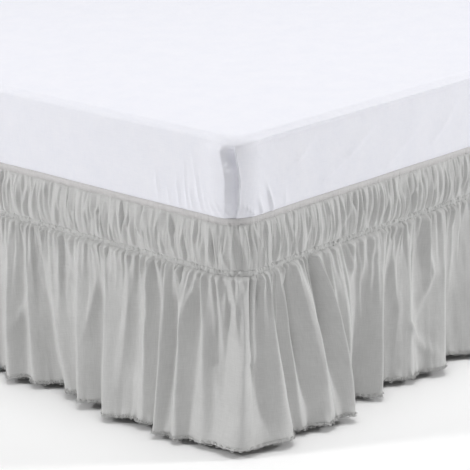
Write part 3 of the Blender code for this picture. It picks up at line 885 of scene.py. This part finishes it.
# %% Woven cloth
def woven(name, colour, dark, pitch, relief, crumple, sheen, roughness, unwrapped=True, crumples=(9, 26)):
    """A plain weave. pitch is between its yarns, relief and crumple are depths, all in millimetres."""
    made, tree, shader = blank(name)
    where = cloth_place(tree, unwrapped)
    cross = add(tree, "ShaderNodeMath", {"operation": "MULTIPLY"})
    tree.links.new(yarns(tree, where, "X", pitch), cross.inputs[0])
    tree.links.new(yarns(tree, where, "Y", pitch), cross.inputs[1])
    slubs = sum_of(tree, noise(tree, where, 1.6, 22), noise(tree, where, 22, 1.6))
    shade = sum_of(tree, slubs, noise(tree, where, 45, 60, 4.0))
    tone = add(tree, "ShaderNodeMapRange", Value=shade, From_Min=1.1, From_Max=1.9)
    between(tree, tone.outputs["Result"], colour, dark, shader)
    normal = bump(tree, cross.outputs[0], relief, 0.6)
    normal = bump(tree, slubs, 2 * relief, 0.5, normal)
    normal = bump(tree, noise(tree, where, *crumples, 2.0), crumple, 0.8, normal)
    tree.links.new(normal, shader.inputs["Normal"])
    shader.inputs["Roughness"].default_value = roughness
    shader.inputs["Sheen Weight"].default_value = sheen
    shader.inputs["Sheen Roughness"].default_value = 0.35
    shader.inputs["Specular IOR Level"].default_value = 0.25
    return made


# %% Thread and wood
def sewing_thread(name, colour, dark):
    """A twisted thread: fine slanting bands, a third of a millimetre apart, in its colour and a darker tone;
    a much darker tone paints shade into it.
    """
    made, tree, shader = blank(name)
    at = add(tree, "ShaderNodeTexCoord").outputs["Object"]
    twist = add(tree, "ShaderNodeTexWave", {"bands_direction": "DIAGONAL"}, Vector=at, Scale=900.0)
    between(tree, twist.outputs["Fac"], colour, dark, shader)
    shader.inputs["Roughness"].default_value = 0.7
    return made


def wood(name, colour, dark):
    """Wood with its grain along Z, about 11 mm across and 200 mm along."""
    made, tree, shader = blank(name)
    at = add(tree, "ShaderNodeTexCoord").outputs["Object"]
    stretched = add(tree, "ShaderNodeMapping", Vector=at, Scale=(90, 90, 5)).outputs["Vector"]
    grain = add(tree, "ShaderNodeTexNoise", Vector=stretched, Scale=1.0, Detail=6.0, Distortion=0.8)
    between(tree, grain.outputs["Fac"], colour, dark, shader)
    tree.links.new(bump(tree, grain.outputs["Fac"], 0.3, 0.3), shader.inputs["Normal"])
    shader.inputs["Roughness"].default_value = 0.45
    return made


# %% [markdown]
# The skirt is brushed microfibre: raised fibres scatter the light, so it is matt with a soft sheen where
# it turns away. The binding is a smoother and tighter tape. The sheet is plain cotton, nearly white, with
# crumples as broad as a finger. Ticking and the base's cover are coarser and hardly show. The legs are
# beech with a satin lacquer, and the threads are polyester, whose tight twist shows as slanting bands.
# The loose hem thread's much darker bands are partly its twist and partly painted shade among the loops
# of the overlocked fringe.

# %% The materials of this bed
microfibre = woven("grey microfibre", "D0D0CF", "C2C2C1", 0.9, 0.12, 0.50, 0.25, 0.85)
tape = woven("grey binding tape", "D4D2D2", "C8C6C6", 0.7, 0.10, 0.20, 0.10, 0.8)
cotton = woven("white cotton sheeting", "F0F0F6", "EAEBF3", 0.6, 0.06, 1.20, 0.03, 0.85, crumples=(17, 13))
ticking = woven("mattress ticking", "E6E5E0", "D8D6D0", 1.4, 0.20, 0.30, 0.0, 0.9, unwrapped=False)
base_cover = woven("base cover", "A8A49C", "96928B", 1.6, 0.25, 0.20, 0.0, 0.9, unwrapped=False)
beech = wood("beech legs", "C79868", "A87848")
polyester = sewing_thread("polyester thread", "D6D6D5", "C2C2C1")
# the hem thread's dark tone is painted shade among the hem's loops, laid on as its twist bands
hem_thread_painted_shade = sewing_thread("loose hem thread with painted shade", "DADAD9", "A9A9A8")
print("materials:", sorted(material.name for material in bpy.data.materials))

# %% [markdown]
# An overlocker binds a raw edge by zigzagging threads over it. Its loops are looser than a seam's
# stitches and hang every way, which makes the edge look rough. A stitch lies flat on the cloth.

# %% Hem loops and stitches
LOOP = {
    "Spacing": 0.0031,
    "Length": 0.0046,
    "Rise": 0.0028,
    "Thickness": 0.00065,
    "Towards": (0.0, 0.0, -0.7),
    "Spread": 1.0,
}
STITCH = {
    "Spacing": 0.0046,
    "Length": 0.0027,
    "Rise": 0.0005,
    "Thickness": 0.00028,
    "Towards": (0.0, 0.0, 0.2),
    "Spread": 0.1,
}

# the thread zigzags over the cloth's edge, from just below it to 4 mm up its face
ZIG, ZAG, OFF_THE_CLOTH = -0.0014, 0.0038, 0.0008
zigzag = np.where(np.arange(columns) % 8 < 4, ZIG, ZAG)
overlocked = edge + outwards * OFF_THE_CLOTH + zigzag[:, None] * [0, 0, 1]
hem_loops = {}
starts = [joins[-1] - columns] + joins[:-1]
for number, (panel, start, end) in enumerate(zip(PANELS, starts, joins)):
    line = overlocked[np.arange(start, end + 1) % columns]
    hem_loops[panel] = thread_piece(f"hem_loops_{panel}", line, False, hem_thread_painted_shade, Seed=number, **LOOP)
    print(hem_loops[panel].name, triangles(hem_loops[panel]), "triangles")

# a stitch line needs a point every 5 mm
every = along[::8]
stitch_rows = []
for name, out, high, pushed in (
    ("binding_stitches", 0.0050, SKIRT_TOP - BINDING_HEIGHT + 0.0026, 0.0),
    ("strip_stitches", 0.0070, STRIP_BOTTOM + 0.0052, 1.0),
):
    x, y = on_outline(every, out + pushed * bulge(every))
    line = np.stack([x, y, np.full(len(every), high)], -1)
    stitch_rows.append(thread_piece(name, line, True, polyester, Seed=9, **STITCH))
    print(name, triangles(stitch_rows[-1]), "triangles")

# %% [markdown]
# ## The fitted sheet
#
# The sheet is drawn tight over the mattress: its sides are nearly flat, the welt of the mattress shows
# through as a line along the top edge, and the spare cloth of each corner is pushed into one pleat, a
# deep shaded hollow beside a crisp edge. Short creases fan out from the pleat's foot, and longer soft
# ones hang beside it.

# %% Sheet
TOP_ROUND, SIDE_OUT, SHEET_LIFT = 0.017, 0.0014, 0.0021
# how far the side bellies out, and how tall that part of it is
BELLY, BELLY_TALL = 0.0030, 0.134
# the mattress's welt: how far it pushes the sheet out, and the dips above and below it
WELT, WELT_ABOVE, WELT_BELOW = 0.0028, 0.0015, 0.0014
# how far in from its edge each ring of the sheet's top lies
TOP_RINGS = (0.012, 0.03, 0.06, 0.10, 0.16, 0.24, 0.34, 0.46, 0.60, 0.75, 0.88, 0.97)
# a crease in the sheet's side: its place and height over the skirt's top at its two ends
Crease = namedtuple("Crease", "start start_high end end_high height width")
CREASES = [
    Crease(-0.172, 0.000, -0.181, 0.075, 0.0014, 0.005),
    Crease(-0.146, 0.002, -0.152, 0.050, 0.0012, 0.004),
    Crease(-0.121, 0.002, -0.128, 0.072, 0.0021, 0.004),
    Crease(-0.101, 0.000, -0.110, 0.104, 0.0018, 0.003),
    Crease(-0.088, 0.002, -0.095, 0.058, 0.0019, 0.004),
    Crease(-0.064, 0.000, -0.090, 0.116, 0.0023, 0.004),
    Crease(-0.050, 0.000, -0.062, 0.060, 0.0018, 0.003),
    Crease(-0.031, 0.000, -0.052, 0.040, 0.0026, 0.003),
    Crease(-0.016, 0.000, -0.036, 0.033, 0.0028, 0.003),
    Crease(-0.008, 0.000, -0.022, 0.026, 0.0024, 0.002),
    Crease(0.038, 0.001, 0.008, 0.026, 0.0050, 0.003),
    Crease(0.058, 0.000, 0.040, 0.036, 0.0045, 0.003),
    Crease(0.086, 0.000, 0.064, 0.056, 0.0055, 0.003),
    Crease(0.120, 0.002, 0.118, 0.040, 0.0016, 0.006),
    Crease(0.036, 0.122, 0.058, 0.100, 0.0016, 0.003),
    Crease(0.150, 0.078, 0.205, 0.122, 0.0022, 0.010),
    Crease(0.230, 0.030, 0.330, 0.074, 0.0032, 0.010),
    Crease(0.300, 0.062, 0.390, 0.114, 0.0032, 0.013),
    Crease(0.420, 0.020, 0.520, 0.080, 0.0034, 0.014),
    Crease(0.560, 0.036, 0.640, 0.104, 0.0030, 0.012),
]
print(len(CREASES), "creases beside each corner")


def sheet_rows():
    """The section of the sheet's side, going up: height, stand-off and how far the welt pushes each row."""
    level = np.linspace(BASE_TOP + 0.001, MATTRESS_TOP - TOP_ROUND, 24)
    straight = np.append(BASE_TOP - 0.003, level)
    belly = BELLY * np.sin(math.pi * np.clip((straight - BASE_TOP) / BELLY_TALL, 0, 1)) ** 0.6
    turn = np.arange(6.0, 91.0, 6.0)
    high = MATTRESS_TOP + SHEET_LIFT - TOP_ROUND + TOP_ROUND * np.sin(np.radians(turn))
    out = TOP_ROUND * (np.cos(np.radians(turn)) - 1)
    under = -WELT_BELOW * np.exp(-(((straight - straight[-1] + 0.002) / 0.004) ** 2))
    welt = WELT * np.exp(-(((turn - 20) / 10) ** 2))
    welt = welt - WELT_ABOVE * np.exp(-(((turn - 46) / 12) ** 2))
    return np.append(straight, high), np.append(belly, out), np.append(under, welt)


# %% [markdown]
# The pleat is three shapes side by side: a crisp edge, a hollow and a soft lobe. They are heights over
# the mattress's side, so the same function serves all four corners.


# %% The corner pleat
# how high each part stands over the mattress's side, and the share of the height where the hollow ends
EDGE_HIGH, LOBE_HIGH, CURL_HIGH, WHOLE_HIGH, HOLLOW_END = 0.0125, 0.0125, 0.0085, 0.0120, 0.86


def pleat(at, tall, round_the_top):
    """The pleat's stand-off: a crisp edge on the long side of its hollow, and a soft lobe on the other."""
    # the edge bows outwards in the middle of its height and comes in at both ends
    edge = np.interp(tall, (0.0, 0.15, 0.50, HOLLOW_END), (0.0008, 0.0040, 0.0054, -0.0018))
    beyond = at[None, :] - edge[:, None]
    right = np.where(beyond >= 0, EDGE_HIGH * np.exp(-np.clip(beyond, 0, None) / 0.024), 0.0)
    right += 0.0010 * np.exp(-(((beyond - 0.0008) / 0.0013) ** 2))
    before = -beyond - (0.004 + 0.002 * tall)[:, None]
    left = LOBE_HIGH * np.clip(before / 0.015, 0, 1) ** 1.2
    left = left * np.exp(-np.clip(before - 0.016, 0, None) / 0.030)
    # a curl of spare cloth lies across the hollow
    across, up = (at[None, :] + 0.010) / 0.006, (tall[:, None] - 0.66) / 0.05
    curl = CURL_HIGH * np.exp(-(across**2) - up**2)
    # above the hollow the cloth runs round the corner in one piece, and over the top it comes in again
    whole = WHOLE_HIGH * np.exp(-((np.abs(at[None, :]) / 0.032) ** 1.4))
    closed = np.clip((tall[:, None] - HOLLOW_END) / 0.035, 0, 1)
    foot = (0.30 + 0.70 * np.clip(tall / 0.25, 0, 1))[:, None]
    return foot * ((right + left + curl) * (1 - closed) + whole * closed) * round_the_top[:, None]


# %% [markdown]
# The side is a grid once more, with columns 1 mm apart at the pleats and wide apart where it is smooth.
# Creases, the welt and a little slack are added to it in turn.


# %% The sheet's sides
def sheet_side():
    heights, outs, welts = sheet_rows()
    marks = []
    for corner, side in zip(CORNERS, SIDES):
        marks += list(corner + np.arange(-0.20, -0.030, 0.0022))
        marks += list(corner + np.arange(-0.030, 0.020, 0.0010))
        marks += list(corner + np.arange(0.020, 0.20, 0.0022))
        marks += list(np.linspace(corner + 0.20, corner + ARC + side - 0.20, 60, endpoint=False))
    # the long side that the photograph shows has soft wrinkles, which need more columns
    marks += list(np.arange(0.2035, SHOWN[1], 0.0061))
    where = np.array(sorted(mark % OUTLINE_LENGTH for mark in marks))
    tall = np.clip((heights - SKIRT_TOP) / (MATTRESS_TOP - SKIRT_TOP), 0, 1)
    tucked = np.clip((heights - BASE_TOP) / 0.008, 0, 1)
    round_the_top = np.clip((MATTRESS_TOP + SHEET_LIFT - heights) / 0.015, 0, 1) ** 0.7
    stand = np.zeros((len(heights), len(where))) + SIDE_OUT + outs[:, None]
    away = np.full(len(where), 1.0)
    for corner in CORNERS:
        at = wrapped(where - corner)
        away = np.minimum(away, np.abs(at))
        stand += tucked[:, None] * pleat(at, tall, round_the_top)
        for crease in CREASES:
            reach = (heights - SKIRT_TOP - crease.start_high) / (crease.end_high - crease.start_high)
            path = crease.start + (crease.end - crease.start) * np.clip(reach, 0, 1)
            size = np.clip((1.1 - reach) / 0.6, 0, 1) * np.clip((reach + 0.10) / 0.08, 0, 1) * tucked
            rise = np.exp(-np.abs((at[None, :] - path[:, None]) / crease.width) ** 1.3)
            stand += crease.height * size[:, None] * rise
    # the welt shows clearly along the long sides and softly along the foot and the head
    x, y = on_outline(where, 0.0)
    long_side = np.clip((np.abs(x) - BASE_WIDTH / 2 + 0.03) / 0.03, 0, 1)
    clear = np.clip((away - 0.004) / 0.03, 0, 1) * (0.12 + 0.88 * long_side)
    stand += welts[:, None] * clear[None, :]
    count, step, places = even_columns(0.004)
    slack = uneven(9, step, (len(heights), count), 0.016)
    for _ in range(14):
        slack[1:-1] = (slack[:-2] + slack[1:-1] + slack[2:]) / 3
    slack = np.array([np.interp(where, places, row, period=OUTLINE_LENGTH) for row in slack])
    stand += 0.0018 * slack / np.abs(slack).max() * np.clip((heights - BASE_TOP) / 0.02, 0, 1)[:, None]
    return where, heights, stand


# %% [markdown]
# Rings that shrink towards the middle close the top, with one last face in the centre. The rings' own
# run would twist the weave, so the sheet takes its UVs from the side that each face looks to.


# %% The whole sheet
def box_uv(mesh):
    """UVs in metres, laid on each face from the side that it faces most."""
    points = np.array([vert.co for vert in mesh.vertices])
    layer = mesh.uv_layers["cloth"].data
    for face in mesh.polygons:
        flat = max(range(3), key=lambda axis: abs(face.normal[axis]))
        first, second = ((1, 2), (0, 2), (0, 1))[flat]
        for loop in face.loop_indices:
            point = points[mesh.loops[loop].vertex_index]
            layer[loop].uv = (point[first], point[second])


def make_sheet():
    where, heights, stand = sheet_side()
    x, y = on_outline(where, stand)
    side = np.stack(np.broadcast_arrays(x, y, heights[:, None]), -1)
    rings = []
    for share in TOP_RINGS:
        ring = side[-1] * [1 - share, 1 - share, 1]
        x, y = ring[:, 0], ring[:, 1]
        wave = np.sin(7.0 * x + 2.0 * y + 1.0) * np.sin(5.0 * y - 3.0 * x)
        ring[:, 2] += 0.0010 * (1 - (1 - share) ** 2) + 0.0007 * wave * min(1.0, share * 8)
        rings.append(ring)
    points = np.concatenate([side, np.array(rings)])[::-1]
    made = grid_mesh("sheet_cloth", points, points[:, :, :2], wrap=1.0)
    shell = bmesh.new()
    shell.from_mesh(made.data)
    shell.verts.ensure_lookup_table()
    shell.faces.new([shell.verts[number] for number in range(len(where))])
    bmesh.ops.recalc_face_normals(shell, faces=shell.faces)
    shell.to_mesh(made.data)
    shell.free()
    made.data.shade_smooth()
    box_uv(made.data)
    return made


sheet = make_sheet()
print("sheet", triangles(sheet), "triangles")

# %% [markdown]
# ## Dressing the pieces
#
# Each fine cloth stands for its solid and rides on the bed. The base, its legs and the mattress keep their
# solids, with the materials of real ones.

# %% Dress
added = []


def dress(piece, material=None, node=None):
    if material:
        piece.data.materials.append(material)
    if node:
        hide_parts(node)
    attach(piece, "root")
    added.append(piece)


for piece, panel, length in ruffle_widths:
    dress(piece, microfibre, f"ruffle_{panel}")
    dress(hem_loops[panel])
for piece, panel, length in heading_widths:
    dress(piece, microfibre, f"heading_{panel}")
for piece, node, material, stitches in (
    (binding, "top_binding", tape, stitch_rows[0]),
    (strip, "gathering_strip", microfibre, stitch_rows[1]),
):
    dress(piece, material, node)
    dress(stitches)
dress(sheet, cotton, "fitted_sheet")

for name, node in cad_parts.items():
    for start, material in (("mattress", ticking), ("bed_base", base_cover), ("leg_", beech)):
        if name.startswith(start):
            node.data.materials.clear()
            node.data.materials.append(material)
print(len(added), "pieces added,", sum(triangles(piece) for piece in added), "triangles")

# %% [markdown]
# ## Floor, light and camera
#
# A pale floor, two soft lights that rake along the two sides, a soft light from above and a bright even
# surround. The camera is the one that was fitted to the photograph's long edges.

# %% Stage
CAMERA_AZIMUTH, CAMERA_ELEVATION = math.radians(41.55), math.radians(17.0)
CAMERA_DISTANCE, CAMERA_LENS = 4.111, 178.1
# the height of the corner that it looks at, and how far left of it and below it the picture's middle is
AIM_HEIGHT, AIM_LEFT, AIM_BELOW = 0.416, 0.0018, 0.0226

floor_mesh = bpy.data.meshes.new("floor")
floor_mesh.from_pydata([(-20, -20, 0), (20, -20, 0), (20, 20, 0), (-20, 20, 0)], [], [(0, 1, 2, 3)])
floor = bpy.data.objects.new("floor", floor_mesh)
bpy.context.scene.collection.objects.link(floor)
pale, _, pale_shader = blank("pale floor")
pale_shader.inputs["Base Color"].default_value = linear("FDFDFD")
pale_shader.inputs["Roughness"].default_value = 0.9
floor_mesh.materials.append(pale)

world = bpy.data.worlds.new("studio")
world.use_nodes = True
world.node_tree.nodes["Background"].inputs["Color"].default_value = (1, 1, 1, 1)
world.node_tree.nodes["Background"].inputs["Strength"].default_value = 0.36
bpy.context.scene.world = world


def soft_light(name, at, towards, size, watts):
    lamp = bpy.data.lights.new(name, "AREA")
    lamp.shape = "SQUARE"
    lamp.size = size
    lamp.energy = watts
    made = bpy.data.objects.new(name, lamp)
    made.location = at
    made.rotation_euler = (Vector(towards) - Vector(at)).to_track_quat("-Z", "Y").to_euler()
    bpy.context.scene.collection.objects.link(made)


soft_light("front light", (-2.9, -5.4, 3.0), (0.3, -1.0, 0.25), 0.8, 148)
soft_light("side light", (4.6, 4.3, 3.0), (0.8, -0.4, 0.25), 0.8, 202)
soft_light("top light", (0.5, -0.5, 5.5), (0.4, -0.6, 0.0), 2.5, 112)


def make_camera():
    az, el = CAMERA_AZIMUTH, CAMERA_ELEVATION
    back = Vector((math.sin(az) * math.cos(el), -math.cos(az) * math.cos(el), math.sin(el)))
    right = Vector((math.cos(az), math.sin(az), 0))
    up = back.cross(right)
    corner = Vector((BASE_WIDTH / 2, -BASE_LENGTH / 2, AIM_HEIGHT))
    target = corner - right * AIM_LEFT - up * AIM_BELOW
    lens = bpy.data.cameras.new("camera")
    lens.lens = CAMERA_LENS
    lens.sensor_width = 36
    made = bpy.data.objects.new("camera", lens)
    turned = Matrix((right, up, back)).transposed().to_4x4()
    made.matrix_world = Matrix.Translation(target + back * CAMERA_DISTANCE) @ turned
    bpy.context.scene.collection.objects.link(made)
    bpy.context.scene.camera = made


make_camera()
bpy.context.scene.view_settings.view_transform = "Standard"
